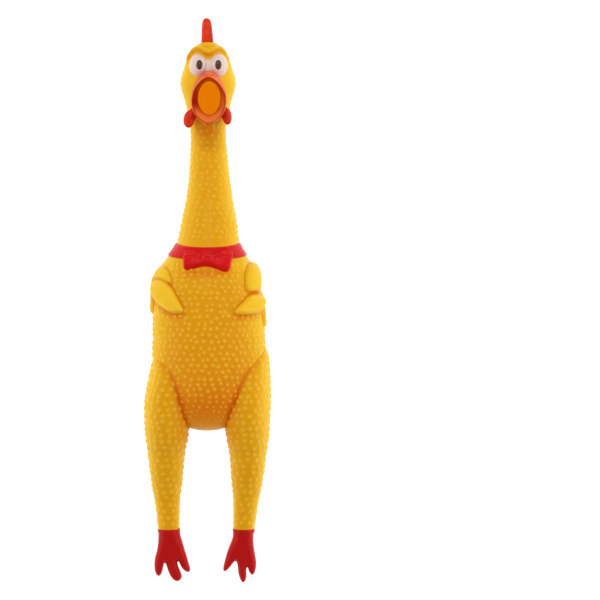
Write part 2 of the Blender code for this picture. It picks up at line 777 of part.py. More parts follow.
def main():
    for obj in list(bpy.data.objects):
        bpy.data.objects.remove(obj)
    skin = finish_material("yellow_vinyl", (0.80, 0.42, 0.01), 0.32, 0.2)
    red = finish_material("red_paint", (0.55, 0.01, 0.01), 0.3, 0.3)
    orange = finish_material("beak_paint", (0.75, 0.10, 0.03), 0.3, 0.3)
    white = finish_material("eye_paint", (0.80, 0.66, 0.62), 0.3, 0.3)
    dark = finish_material("pupil_paint", (0.03, 0.01, 0.01), 0.2, 0.5)
    plastic = finish_material("squeaker_plastic", (0.75, 0.75, 0.72), 0.4)
    film = finish_material("reed_film", (0.20, 0.45, 0.60), 0.3)

    make_torso(skin)
    make_belly_panel(skin)
    make_collar(red)
    make_bow_tie(red)
    hollow_stretch("neck_lower_skin", NECK_BASE, -1, NECK_ROWS, NECK_MIDDLE, 24, skin)
    hollow_stretch("neck_upper_skin", NECK_MIDDLE, -1, NECK_ROWS, HEAD_BASE, 20, skin)
    make_squeaker_housing(plastic)
    make_reed_seat(plastic)
    make_reed(film)
    make_reed_wedge(plastic)
    make_head(skin)
    make_comb(red)
    make_beak(orange)
    for side, word in ((-1, "left"), (1, "right")):
        make_wing(side, word + "_wing", skin)
        make_eye(side, word + "_eye", white)
        make_pupil(side, word + "_pupil", dark)
        make_wattle(side, word + "_wattle", red)
        make_thigh(side, word + "_thigh_skin", skin)
        hollow_stretch(word + "_shank_skin", knee(side), 1, leg_rows(side), ankle(side), 16, skin)
        make_foot(side, word + "_foot", red)


main()
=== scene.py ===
"""Looks of the rubber chicken: vinyl skin with nodules, painted trim, and a white studio.

Shapes are worked out in millimetres, in the same frame as the CAD: +Y to the comb, +Z out of the belly.
Side is -1 for the left as seen from the front, and 1 for the right.
"""

from math import cos, pi, radians, sin

import bmesh
import bpy
import numpy as np
from mathutils import Matrix, Vector, kdtree


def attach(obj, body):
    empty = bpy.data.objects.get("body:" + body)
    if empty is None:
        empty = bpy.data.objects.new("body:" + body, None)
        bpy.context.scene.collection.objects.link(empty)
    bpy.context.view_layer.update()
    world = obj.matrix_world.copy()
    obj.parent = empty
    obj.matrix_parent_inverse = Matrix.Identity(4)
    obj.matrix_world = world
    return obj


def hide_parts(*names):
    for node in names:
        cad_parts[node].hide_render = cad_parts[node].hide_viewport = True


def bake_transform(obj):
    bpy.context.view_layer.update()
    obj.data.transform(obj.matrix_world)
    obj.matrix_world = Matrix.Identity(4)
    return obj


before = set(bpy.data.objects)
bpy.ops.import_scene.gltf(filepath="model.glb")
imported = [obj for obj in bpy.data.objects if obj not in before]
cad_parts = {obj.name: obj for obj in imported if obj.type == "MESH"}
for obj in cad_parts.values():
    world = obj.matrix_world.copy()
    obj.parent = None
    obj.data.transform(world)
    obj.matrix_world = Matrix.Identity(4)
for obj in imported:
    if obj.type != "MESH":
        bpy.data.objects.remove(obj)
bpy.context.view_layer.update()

MM = 0.001
STEP = 0.5  # spacing of the skin's mesh
WORD = {-1: "left", 1: "right"}
THIN = 0.02  # the least half width or depth of a section
FACE_X = 0.8  # the face sits a little to one side of the head
BEAK_X = 1.2  # and the beak a little more
BEAK_WIDER = 1.05
MOUTH_Y = 110.2

# Rows of the body, neck and head: y, half width, lowest z, highest z, centre x
BODY = [
    (-72.6, 0, 25, 25, 0), (-72.1, 6.5, 17.5, 31.5, 0), (-70.2, 12.5, 12, 36.5, 0),
    (-66.7, 17.8, 8, 41, 0), (-62, 22.2, 4.5, 44.5, 0.3), (-56, 26.4, 2, 47.5, 0.7),
    (-49, 29.2, 0.5, 49.4, 0.9), (-38, 31, 0.5, 50, 1.2), (-24, 30.9, 0.5, 49.9, 1.1),
    (-6, 29.9, 0.5, 48.6, 0.4), (4, 28.9, 0.5, 47, 0.1), (10, 27.9, 0.6, 45.5, 0),
    (14, 26.8, 0.7, 44, 0), (17, 25.6, 0.9, 42.6, 0), (20, 24, 1.3, 41, 0),
    (23.4, 21.7, 2, 39.2, 0.1), (26.8, 19.3, 2.8, 37.6, 0.2), (30, 17.3, 3.4, 36.2, 0.4),
    (33.3, 16.6, 3.9, 35.2, 0.6), (40, 15.5, 4.3, 33.2, 0.9), (46.5, 14.4, 3.9, 31.2, 1.1),
    (53, 13.1, 3.4, 29.3, 1.1), (60, 12.2, 3.1, 27.6, 1.1), (66.3, 11.3, 2.9, 26, 1),
    (73, 10.7, 2.8, 24.8, 0.8), (79.6, 10.2, 2.9, 23.7, 0.7), (86.2, 9.8, 3.1, 22.9, 0.5),
    (92.5, 9.8, 3.1, 22.9, 0.3), (97.5, 10.3, 2.8, 23.3, 0.3), (101.5, 11.1, 2.2, 24.2, 0.3),
    (106, 12, 1.3, 26, 0.3), (109.3, 12.8, 0.8, 27.4, 0.3), (112.6, 13.9, 0.4, 28.6, 0.3),
    (116, 14.9, 0.2, 29.3, 0.3), (119.2, 15.3, 0.2, 29.7, 0.3), (122.5, 14.9, 0.3, 29.9, 0.3),
    (126, 13.8, 0.6, 30, 0.3), (129.5, 12.7, 1.2, 30.2, 0.3), (132.6, 11.6, 2.4, 30.2, 0.3),
    (135.7, 9.9, 4.3, 29.7, 0.4), (138.4, 7.7, 7.5, 28.2, 0.4), (140.7, 5.2, 11, 26.2, 0.4),
    (142.6, 0, 19.5, 19.5, 0.4),
]
# Rows of a leg, the same way. Its top comes out of the side of the body
LEG = [
    (-26, 0, 25, 25, 29), (-27, 1.2, 21, 29, 29), (-30, 3.4, 16.5, 33.3, 28),
    (-34, 6.6, 12.6, 38.4, 25.4), (-38, 9.2, 10.2, 42.3, 23.4), (-42.7, 10.9, 8.8, 44.6, 22.3),
    (-49.3, 12.1, 8, 45.8, 21.9), (-56, 12.7, 7.7, 45.8, 21.8), (-62, 12.7, 7.6, 45, 21.9),
    (-68, 12.3, 7.8, 43.5, 22), (-72.4, 11.9, 8, 41.8, 22.2), (-78, 11.3, 8.1, 38.8, 22.3),
    (-82, 10.6, 7.9, 36.4, 22.5), (-88, 9.8, 7.2, 32.8, 22.5), (-95.5, 9.1, 6.2, 28.6, 22.4),
    (-102, 8.3, 5.3, 25.2, 22.2), (-108.7, 7.4, 4.6, 21.8, 22), (-115.5, 6.7, 4.1, 19.4, 21.6),
    (-122, 6.2, 3.8, 17.5, 21.2), (-128.4, 5.9, 3.8, 16.2, 20.8),
]
# Where one piece of skin ends and the next begins, in y
TORSO_TOP = 20.5
NECK_SPLIT = 48.5
HEAD_START = 84.5
THIGH_SPLIT = -84.0
LEG_SPLIT = -109.0
ANKLE = LEG[-1][0]
BELLY_PLANE = 43.3  # the part of the belly above this z is pressed in


# ---- surfaces


def fade(value, low, high):
    """0 at low, 1 at high, smooth between."""
    t = np.clip((value - low) / (high - low), 0, 1)
    return t * t * (3 - 2 * t)


def bell(value, middle, width):
    """1 at the middle, falling smoothly to 0 on both sides."""
    return np.exp(-(((value - middle) / width) ** 2))


def smooth_rows(rows, step):
    """Rows on a smooth curve through the given ones, about a step apart along the surface."""
    rows = np.array(rows, float)
    half = (rows[:, 3] - rows[:, 2]) / 2
    chord = np.hypot(np.diff(rows[:, 0]), np.maximum(abs(np.diff(rows[:, 1])), abs(np.diff(half))))
    at = np.concatenate(([0.0], np.cumsum(chord)))
    slope = np.empty_like(rows)
    slope[1:-1] = (rows[2:] - rows[:-2]) / (at[2:] - at[:-2])[:, None]
    slope[0] = 2 * (rows[1] - rows[0]) / (at[1] - at[0]) - slope[1]
    slope[-1] = 2 * (rows[-1] - rows[-2]) / (at[-1] - at[-2]) - slope[-2]
    where = np.linspace(0, at[-1], int(at[-1] / step) + 1)
    k = np.clip(np.searchsorted(at, where, side="right") - 1, 0, len(at) - 2)
    width = (at[k + 1] - at[k])[:, None]
    t = (where - at[k])[:, None] / width
    out = (
        (2 * t**3 - 3 * t**2 + 1) * rows[k]
        + (t**3 - 2 * t**2 + t) * width * slope[k]
        + (3 * t**2 - 2 * t**3) * rows[k + 1]
        + (t**3 - t**2) * width * slope[k + 1]
    )
    out[:, 1] = np.maximum(out[:, 1], THIN)
    return out


def row_at(dense, y):
    """Half width, half depth, middle z and centre x of a limb at each y."""
    rows = dense[np.argsort(dense[:, 0])]
    width, low, high, centre = (np.interp(y, rows[:, 0], rows[:, c]) for c in (1, 2, 3, 4))
    return width, np.maximum((high - low) / 2, THIN), (high + low) / 2, centre


def depth_in(dense, points):
    """How far inside a limb each point is, as a share of its section: 0 at the middle, 1 on the skin."""
    width, depth, middle, centre = row_at(dense, points[:, 1])
    share = np.hypot((points[:, 0] - centre) / width, (points[:, 2] - middle) / depth)
    outside = (points[:, 1] < dense[:, 0].min()) | (points[:, 1] > dense[:, 0].max())
    return np.where(outside, 9.0, share)


def ring_points(rows, sides):
    """Points of the surface through these rows: rows by sides by 3, evenly spread round each ellipse."""
    angle = np.linspace(0, 2 * pi, 361)
    half = np.maximum((rows[:, 3] - rows[:, 2]) / 2, THIN)
    middle = (rows[:, 3] + rows[:, 2]) / 2
    grid = np.empty((len(rows), sides, 3))
    for i, row in enumerate(rows):
        x, z = row[1] * np.cos(angle), half[i] * np.sin(angle)
        length = np.concatenate(([0.0], np.cumsum(np.hypot(np.diff(x), np.diff(z)))))
        even = np.interp(np.linspace(0, length[-1], sides, endpoint=False), length, angle)
        grid[i, :, 0] = row[4] + row[1] * np.cos(even)
        grid[i, :, 1] = row[0]
        grid[i, :, 2] = middle[i] + half[i] * np.sin(even)
    return grid


def grid_normals(grid, closed=True):
    """Unit normals of a grid of rings, or of a patch of skin, all on the same side of it."""
    along = np.gradient(grid, axis=0)
    if closed:
        round_it = np.roll(grid, -1, axis=1) - np.roll(grid, 1, axis=1)
    else:
        round_it = np.gradient(grid, axis=1)
    normal = np.cross(round_it, along)
    return normal / np.maximum(np.linalg.norm(normal, axis=2, keepdims=True), 1e-9)


def facing_out(normal, grid, inside):
    """Turns normals round if they point towards a point inside."""
    inward = np.einsum("ijk,ijk->ij", normal, grid - inside).mean() < 0
    return -normal if inward else normal


def set_attribute(mesh, name, values):
    """Stores a number at each vertex, which a material can read."""
    layer = mesh.attributes.new(name, "FLOAT", "POINT")
    layer.data.foreach_set("value", np.asarray(values).reshape(-1).astype(np.float32))


def grid_mesh(name, grid, attributes, close_start=False, close_end=False, closed=True, keep=None):
    """A mesh from a grid of points, with its float attributes.

    Closed joins the last column to the first. Keep marks the points whose faces stay.
    """
    rows, sides = grid.shape[:2]
    index = np.arange(rows * sides).reshape(rows, sides)
    if closed:
        index = np.hstack((index, index[:, :1]))
    corners = (index[:-1, :-1], index[:-1, 1:], index[1:, 1:], index[1:, :-1])
    faces = np.stack(corners, axis=-1).reshape(-1, 4)
    if keep is not None:
        wanted = keep.reshape(-1)
        faces = faces[wanted[faces].any(axis=1)]
    faces = faces.tolist()
    if close_start:
        faces.append(index[0, :sides][::-1].tolist())
    if close_end:
        faces.append(index[-1, :sides].tolist())
    mesh = bpy.data.meshes.new(name)
    mesh.from_pydata((grid.reshape(-1, 3) * MM).tolist(), [], faces)
    for key, values in attributes.items():
        set_attribute(mesh, key, values)
    bm = bmesh.new()
    bm.from_mesh(mesh)
    bmesh.ops.delete(bm, geom=[v for v in bm.verts if not v.link_faces], context="VERTS")
    bmesh.ops.recalc_face_normals(bm, faces=bm.faces)
    bm.to_mesh(mesh)
    bm.free()
    mesh.shade_smooth()
    return mesh


def add(name, mesh, material):
    """An object in the scene, in one material."""
    obj = bpy.data.objects.new(name, mesh)
    bpy.context.collection.objects.link(obj)
    obj.data.materials.clear()
    obj.data.materials.append(material)
    return obj


body_dense = smooth_rows(BODY, STEP)


# ---- nodules


def nodule_centres(rows, pitch, seed, wanted):
    """Where nodules sit: staggered rows round the surface, each moved a little at random."""
    random = np.random.default_rng(seed)
    fine = ring_points(smooth_rows(rows, pitch * 0.87), 360)
    centres = []
    for i, ring in enumerate(fine):
        edge = np.linalg.norm(np.roll(ring, -1, axis=0) - ring, axis=1)
        length = np.concatenate(([0.0], np.cumsum(edge)))
        count = int(round(length[-1] / pitch))
        if count < 4:
            continue
        shift = (i % 2) / 2 + random.uniform(-0.1, 0.1)
        turn = (np.arange(count) + shift + random.uniform(-0.2, 0.2, count)) / count
        spot = turn % 1.0 * length[-1]
        closed = np.vstack((ring, ring[:1]))
        point = np.stack([np.interp(spot, length, closed[:, a]) for a in range(3)], axis=1)
        point[:, 1] += random.uniform(-0.2, 0.2, count) * pitch
        centres.append(point)
    centres = np.vstack(centres)
    return centres[wanted(centres)]


def nodule_share(points, centres, radii):
    """How high on a nodule each point is, from 0 to 1."""
    tree = kdtree.KDTree(len(centres))
    for i, centre in enumerate(centres):
        tree.insert(centre, i)
    tree.balance()
    share = np.zeros(len(points))
    for i, point in enumerate(points):
        _, k, distance = tree.find(point)
        radius = radii[k]
        if distance < radius:
            share[i] = (1 - (distance / radius) ** 2) ** 1.3
    return share


# ---- reliefs


def rounded(outline, times=3):
    """A closed outline with its corners cut smooth."""
    points = np.array(outline, float)
    for _ in range(times):
        after = np.roll(points, -1, axis=0)
        quarters = (points * 0.75 + after * 0.25, points * 0.25 + after * 0.75)
        points = np.stack(quarters, axis=1).reshape(-1, 2)
    return points


def inside_by(points, outline):
    """Distance of 2-D points inside a closed outline; negative outside."""
    best = np.full(len(points), np.inf)
    inside = np.zeros(len(points), bool)
    for a, b in zip(outline, np.roll(outline, -1, axis=0)):
        edge = b - a
        t = np.clip(((points - a) @ edge) / (edge @ edge), 0, 1)
        best = np.minimum(best, np.linalg.norm(points - a - t[:, None] * edge, axis=1))
        crosses = (a[1] > points[:, 1]) != (b[1] > points[:, 1])
        rise = b[1] - a[1] if b[1] != a[1] else 1.0
        inside ^= crosses & (points[:, 0] < a[0] + (points[:, 1] - a[1]) * (b[0] - a[0]) / rise)
    return np.where(inside, best, -best)


def cushion(distance, height, edge):
    """Height over the skin: rounded up from the outline, level further in, and under the skin outside."""
    t = np.clip(distance / edge, 0, 1)
    return height * np.sqrt(1 - (1 - t) ** 2) + np.clip(distance, -2.5, 0) * 0.6


def blended(heights):
    """Smooth maximum of several heights."""
    softness = 0.45
    stack = np.stack(heights)
    top = stack.max(axis=0)
    return top + softness * np.log(np.exp((stack - top) / softness).sum(axis=0))


def softened(height, times):
    """Heights over a grid, each moved towards its neighbours a number of times."""
    for _ in range(times):
        wide = np.pad(height, 1, mode="edge")
        beside = wide[:-2, 1:-1] + wide[2:, 1:-1] + wide[1:-1, :-2] + wide[1:-1, 2:]
        height = (wide[1:-1, 1:-1] * 4 + beside) / 8
    return height


def skin_patch(low, high, side_angle, columns, spacing=0.4):
    """A patch of body skin: its points, its normals, and how far round each is from the first column."""
    y = np.arange(low, high, spacing)
    width, depth, middle, centre = row_at(body_dense, y)
    angle = np.linspace(side_angle[0], side_angle[1], columns)
    grid = np.empty((len(y), columns, 3))
    grid[:, :, 0] = centre[:, None] + width[:, None] * np.sin(angle)
    grid[:, :, 1] = y[:, None]
    grid[:, :, 2] = middle[:, None] + depth[:, None] * np.cos(angle)
    inside = np.array([0, (low + high) / 2, 22])
    normals = facing_out(grid_normals(grid, closed=False), grid, inside)
    edges = np.linalg.norm(np.diff(grid, axis=1), axis=2)
    s = np.concatenate((np.zeros((len(y), 1)), np.cumsum(edges, axis=1)), axis=1)
    return grid, normals, s


def relief(name, grid, normals, height, attributes, material):
    """A piece that stands over the skin by the height given, trimmed where it dips well under."""
    raised = grid + normals * height[:, :, None]
    return add(name, grid_mesh(name, raised, attributes, closed=False, keep=height > -0.5), material)


# ---- lumps


def apply_modifiers(obj):
    """Replaces an object's mesh with what its modifiers make of it."""
    bpy.context.view_layer.update()
    graph = bpy.context.evaluated_depsgraph_get()
    mesh = bpy.data.meshes.new_from_object(obj.evaluated_get(graph))
    materials = list(obj.data.materials)
    obj.modifiers.clear()
    obj.data = mesh
    obj.data.materials.clear()
    for material in materials:
        obj.data.materials.append(material)


def soft_union(name, lumps, voxel, smoothing, material):
    """One smooth closed lump from several overlapping ones."""
    bm = bmesh.new()
    for mesh in lumps:
        bm.from_mesh(mesh)
    mesh = bpy.data.meshes.new(name)
    bm.to_mesh(mesh)
    bm.free()
    obj = add(name, mesh, material)
    remesh = obj.modifiers.new("skin", "REMESH")
    remesh.mode = "VOXEL"
    remesh.voxel_size = voxel * MM
    remesh.use_smooth_shade = True
    smooth = obj.modifiers.new("soften", "SMOOTH")
    smooth.factor = 0.5
    smooth.iterations = smoothing
    apply_modifiers(obj)
    obj.data.shade_smooth()
    return obj


def lump(centre, sizes, turn=(0.0, 0.0, 0.0), segments=32, rings=20):
    """An ellipsoid mesh, in millimetres, turned by degrees about X, Y and Z."""
    bm = bmesh.new()
    bmesh.ops.create_uvsphere(bm, u_segments=segments, v_segments=rings, radius=1.0)
    turning = Matrix.Identity(4)
    for angle, axis in zip(turn, "XYZ"):
        turning = Matrix.Rotation(radians(angle), 4, axis) @ turning
    scaling = Matrix.Diagonal((*(s * MM for s in sizes), 1.0))
    bm.transform(Matrix.Translation(Vector(centre) * MM) @ turning @ scaling)
    mesh = bpy.data.meshes.new("lump")
    bm.to_mesh(mesh)
    bm.free()
    return mesh


def puffed(outline, half, edge, middle, axes, voxel=0.3):
    """A flat outline (u, v) swollen to a rounded plate, whose depth is w.

    Half thickness, width of the rounded edge, and middle are functions of v. Axes says which of u, v and w
    is x, y and z.
    """
    outline = rounded(outline, 2)
    bm = bmesh.new()
    sheets = []
    for w in (-1.0, 1.0):
        sheets.append([bm.verts.new(Vector((u, v, w))) for u, v in outline])
    bm.faces.new(sheets[0])
    bm.faces.new(sheets[1][::-1])
    for k in range(len(outline)):
        n = (k + 1) % len(outline)
        bm.faces.new((sheets[0][k], sheets[0][n], sheets[1][n], sheets[1][k]))
    bmesh.ops.recalc_face_normals(bm, faces=bm.faces)
    bmesh.ops.triangulate(bm, faces=bm.faces)
    mesh = bpy.data.meshes.new("plate")
    bm.to_mesh(mesh)
    bm.free()
    obj = bpy.data.objects.new("plate", mesh)
    bpy.context.collection.objects.link(obj)
    remesh = obj.modifiers.new("even", "REMESH")
    remesh.mode = "VOXEL"
    remesh.voxel_size = voxel
    apply_modifiers(obj)
    mesh = obj.data
    bpy.data.objects.remove(obj)
    co = np.empty(len(mesh.vertices) * 3)
    mesh.vertices.foreach_get("co", co)
    co = co.reshape(-1, 3)
    v = co[:, 1]
    t = np.clip(inside_by(co[:, :2], outline) / edge(v), 0, 1)
    co[:, 2] = middle(v) + np.clip(co[:, 2], -1, 1) * half(v) * np.sqrt(1 - (1 - t) ** 2)
    placed = np.stack([co[:, "uvw".index(axis)] for axis in axes], axis=1) * MM
    mesh.vertices.foreach_set("co", placed.reshape(-1))
    return mesh


def tube(path, sizes, segments=32):
    """A tapering closed tube along a path. Sizes are half width across and half depth at each point."""
    path = [Vector(p) for p in path]
    rings = []
    for k, point in enumerate(path):
        before, after = path[max(k - 1, 0)], path[min(k + 1, len(path) - 1)]
        forward = (after - before).normalized()
        across = forward.cross(Vector((0, 0, 1))).normalized()
        lift = across.cross(forward).normalized()
        wide, deep = sizes[k]
        ring = []
        for s in range(segments):
            angle = 2 * pi * s / segments
            ring.append(point + across * wide * cos(angle) + lift * deep * sin(angle))
        rings.append(ring)
    grid = np.array([[list(p) for p in ring] for ring in rings])
    return grid_mesh("tube", grid, {}, True, True)


# ---- materials


def node_material(name):
    """A new material, its node tree and its shader."""
    material = bpy.data.materials.new(name)
    material.use_nodes = True
    tree = material.node_tree
    return material, tree, tree.nodes["Principled BSDF"]


def noise(tree, scale, detail):
    """Noise fixed to the object."""
    place = tree.nodes.new("ShaderNodeTexCoord")
    texture = tree.nodes.new("ShaderNodeTexNoise")
    texture.inputs["Scale"].default_value = scale
    texture.inputs["Detail"].default_value = detail
    tree.links.new(place.outputs["Object"], texture.inputs["Vector"])
    return texture.outputs["Fac"]


def spread(tree, value, low, high):
    """Maps a noise's useful range to low and high."""
    node = tree.nodes.new("ShaderNodeMapRange")
    node.inputs["From Min"].default_value = 0.3
    node.inputs["From Max"].default_value = 0.7
    node.inputs["To Min"].default_value = low
    node.inputs["To Max"].default_value = high
    tree.links.new(value, node.inputs["Value"])
    return node.outputs["Result"]


def combined(tree, operation, a, b):
    """Two numbers, each an output or a plain value, put through one operation."""
    node = tree.nodes.new("ShaderNodeMath")
    node.operation = operation
    for socket, value in zip(node.inputs, (a, b)):
        if isinstance(value, float):
            socket.default_value = value
        else:
            tree.links.new(value, socket)
    return node.outputs[0]


def mix(tree, factor, a, b):
    """Colour a where the factor is 0, and b where it is 1."""
    node = tree.nodes.new("ShaderNodeMix")
    node.data_type = "RGBA"
    for socket, value in ((node.inputs[0], factor), (node.inputs[6], a), (node.inputs[7], b)):
        if isinstance(value, tuple):
            socket.default_value = (*value, 1.0)
        else:
            tree.links.new(value, socket)
    return node.outputs[2]


def attribute(tree, name):
    """The number that the mesh stores under this name."""
    node = tree.nodes.new("ShaderNodeAttribute")
    node.attribute_name = name
    return node.outputs["Fac"]


def add_bump(tree, shader, scale, strength):
    """Very fine unevenness of moulded vinyl."""
    bump = tree.nodes.new("ShaderNodeBump")
    bump.inputs["Strength"].default_value = strength
    bump.inputs["Distance"].default_value = 0.05 * MM
    tree.links.new(noise(tree, scale, 3.0), bump.inputs["Height"])
    tree.links.new(bump.outputs["Normal"], shader.inputs["Normal"])


def set_shader(shader, specular, subsurface, radius):
    """How much light a material reflects and lets through."""
    shader.inputs["Specular IOR Level"].default_value = specular
    shader.inputs["Subsurface Weight"].default_value = subsurface
    shader.inputs["Subsurface Radius"].default_value = radius
    shader.inputs["Subsurface Scale"].default_value = 2.0 * MM


# Skin colours: lemon where the skin is lit, gold and deep orange as painted shade, and pale as a painted
# highlight.
LEMON = (0.900, 0.560, 0.012)
SHADED_GOLD = (0.800, 0.370, 0.002)
SHADED_ORANGE = (0.760, 0.150, 0.000)
PALE_HIGHLIGHT = (1.000, 0.580, 0.040)


def vinyl():
    """Yellow skin, with painted shade running from lemon through gold to deep orange, and a paler painted
    highlight on the nodule tips.
    """
    material, tree, shader = node_material("yellow_vinyl_skin")
    wobble = spread(tree, noise(tree, 55.0, 3.0), -0.05, 0.05)
    ramp = tree.nodes.new("ShaderNodeValToRGB")
    ramp.color_ramp.elements[0].color = (*LEMON, 1.0)
    ramp.color_ramp.elements[1].color = (*SHADED_ORANGE, 1.0)
    ramp.color_ramp.elements.new(0.5).color = (*SHADED_GOLD, 1.0)
    tree.links.new(combined(tree, "ADD", attribute(tree, "painted_shade"), wobble), ramp.inputs["Fac"])
    # Nodule tips and wing ridges get a pale painted highlight.
    highlight_share = combined(tree, "MULTIPLY", attribute(tree, "painted_highlight"), 0.62)
    tree.links.new(mix(tree, highlight_share, ramp.outputs["Color"], PALE_HIGHLIGHT), shader.inputs["Base Color"])
    tree.links.new(spread(tree, noise(tree, 140.0, 2.0), 0.33, 0.43), shader.inputs["Roughness"])
    set_shader(shader, 0.11, 0.2, (1.0, 0.35, 0.05))
    add_bump(tree, shader, 900.0, 0.12)
    return material


def finish_paint(tree, shader, roughness, specular, subsurface):
    """The gloss that every paint shares, a little uneven."""
    rough = spread(tree, noise(tree, 260.0, 2.0), roughness - 0.05, roughness + 0.07)
    tree.links.new(rough, shader.inputs["Roughness"])
    set_shader(shader, specular, subsurface, (1.0, 0.3, 0.2))
    add_bump(tree, shader, 700.0, 0.1)


def paint(name, colour, dark, roughness, specular=0.14, subsurface=0.1):
    """Glossy paint on the same vinyl, a little uneven in tone."""
    material, tree, shader = node_material(name)
    tone = spread(tree, noise(tree, 120.0, 3.0), 0.0, 0.5)
    tree.links.new(mix(tree, tone, colour, dark), shader.inputs["Base Color"])
    finish_paint(tree, shader, roughness, specular, subsurface)
    return material


def two_tone_paint_with_painted_light(name, low, high, roughness):
    """Paint whose tone attribute runs between two colours. On the comb and the beak the tone carries painted
    light and shade.
    """
    material, tree, shader = node_material(name)
    wobble = spread(tree, noise(tree, 160.0, 3.0), -0.08, 0.08)
    tone = combined(tree, "ADD", attribute(tree, "tone"), wobble)
    tree.links.new(mix(tree, tone, low, high), shader.inputs["Base Color"])
    finish_paint(tree, shader, roughness, 0.14, 0.1)
    return material


def throat_vinyl_with_painted_glow():
    """The thin skin at the back of the throat, with a painted glow standing in for light from outside that
    comes through it.
    """
    material = paint("inner_vinyl_painted_glow", (0.80, 0.28, 0.002), (0.76, 0.24, 0.002), 0.6)
    shader = material.node_tree.nodes["Principled BSDF"]
    # Painted glow: the emission stands in for light coming through the thin skin.
    shader.inputs["Emission Color"].default_value = (0.90, 0.50, 0.0, 1.0)
    shader.inputs["Emission Strength"].default_value = 0.27
    return material


# ---- skin pieces


def leg_shift(y):
    """Sideways sweep of both legs: one way at the hips and the other towards the feet."""
    hips = np.interp(y, [-60, -53, -45, -37, -30, -26], [0.1, 0.7, 1.2, 2.0, 1.9, 1.6])
    return hips - 0.95 * np.clip((-72 - np.asarray(y)) / 56, 0, 1.4) ** 1.3


def leg_rows(side):
    return [(y, w, a, b, side * x + float(leg_shift(y))) for y, w, a, b, x in LEG]


leg_dense = {side: smooth_rows(leg_rows(side), STEP) for side in (-1, 1)}

# Outlines of the wings, each point as its distance round from the front's middle and its y, then the height
# over the skin and the width of the rounded edge. The hand is folded forward over the arm
WINGS = {
    -1: {
        "arm": (
            [(24, 16.5), (20.5, 12.5), (19.6, 8), (24, 4), (34, 0), (43, 0), (46, 6), (42, 13), (35, 17.5)]
            + [(28, 18.5)],
            2.9,
            7.5,
        ),
        "hand": (
            [(27, 9.8), (20.6, 7.2), (17.2, 2.4), (13.6, -4), (12.4, -7.6), (17.4, -8.6), (22.6, -7.2)]
            + [(28, -4.6), (34, -1), (40, 3.5), (37, 9)],
            3.5,
            4.2,
        ),
        "feathers": (
            [(33, 13), (44, 15), (54, 12), (57, 3), (53, -5), (46, -9.5), (40, -8), (37, -2)],
            2.2,
            3.4,
        ),
    },
    1: {
        "arm": (
            [(24, 16), (22.6, 12), (22.6, 7), (24, 3.6), (30, 2.4), (36, 2.6), (37, 7), (42, 13), (41, 19)]
            + [(33, 20.5), (27, 19)],
            3.1,
            5,
        ),
        "hand": (
            [(30, 2.6), (24.4, 1.8), (20.4, -2), (15.8, -6), (15.4, -8.8), (22, -9), (31, -8.6), (38, -6)]
            + [(42, -1), (37, 2.4)],
            3.5,
            3.4,
        ),
        "feathers": (
            [(41, 3), (47, 6), (54, 8), (57, 0), (54, -9), (47, -15.5), (41, -16.5), (38, -8)],
            2,
            3.4,
        ),
    },
}
WING_LOW, WING_HIGH = -24, 26  # no part of a wing is outside these y
FEATHER_PITCH = 4.2


def wing_height(side, s, y):
    """Height of a wing over the skin at a distance s round from the front's middle."""
    flat = np.stack((s.reshape(-1), y.reshape(-1)), axis=1)
    parts = []
    for name, (outline, height, edge) in WINGS[side].items():
        inside = inside_by(flat, rounded(outline))
        part = cushion(inside, height, edge)
        if name == "hand":
            groove_round_hand = 1.5 * bell(inside, -0.7, 0.8).reshape(s.shape)
            part += 0.7 * bell(inside, 1.6, 1.0) * fade(-flat[:, 0], -30, -20)
        if name == "feathers":
            groove = 0.5 + 0.5 * np.cos((flat[:, 0] - 0.25 * flat[:, 1]) * 2 * pi / FEATHER_PITCH)
            part -= 0.7 * groove**3 * (part > 0.4) * fade(-flat[:, 1], -6, 2)
        parts.append(part.reshape(s.shape))
    height = blended(parts)
    return height - groove_round_hand * (height > 0.5)


def round_from_front(points):
    """Distance round the body from the middle of its front, for points on its skin."""
    width, depth, middle, centre = row_at(body_dense, points[:, 1])
    angle = np.arctan2((points[:, 0] - centre) / width, (points[:, 2] - middle) / depth)
    steps = np.linspace(0, 1, 25)[:, None] * abs(angle)
    speed = np.hypot(width * np.cos(steps), depth * np.sin(steps))
    return np.sign(angle) * abs(angle) * speed.mean(axis=0)


def over_wings(points):
    """Height of the wings at points on the body's skin."""
    s = round_from_front(points)
    height = np.full(len(points), -1.0)
    near = (points[:, 1] > WING_LOW) & (points[:, 1] < WING_HIGH)
    for side in (-1, 1):
        mine = near & (np.sign(s) == side)
        if mine.any():
            height[mine] = wing_height(side, abs(s[mine]), points[mine, 1])
    return height


# Painted shade on skin facing the front, how golden: y and strength
FRONT_PAINTED_SHADE = [(-60, 0.66), (-40, 0.60), (-10, 0.50), (12, 0.46), (22, 0.4), (30, 0.42), (60, 0.36)]
FRONT_PAINTED_SHADE += [(93, 0.42), (105, 0.26), (120, 0.18), (141, 0.14)]


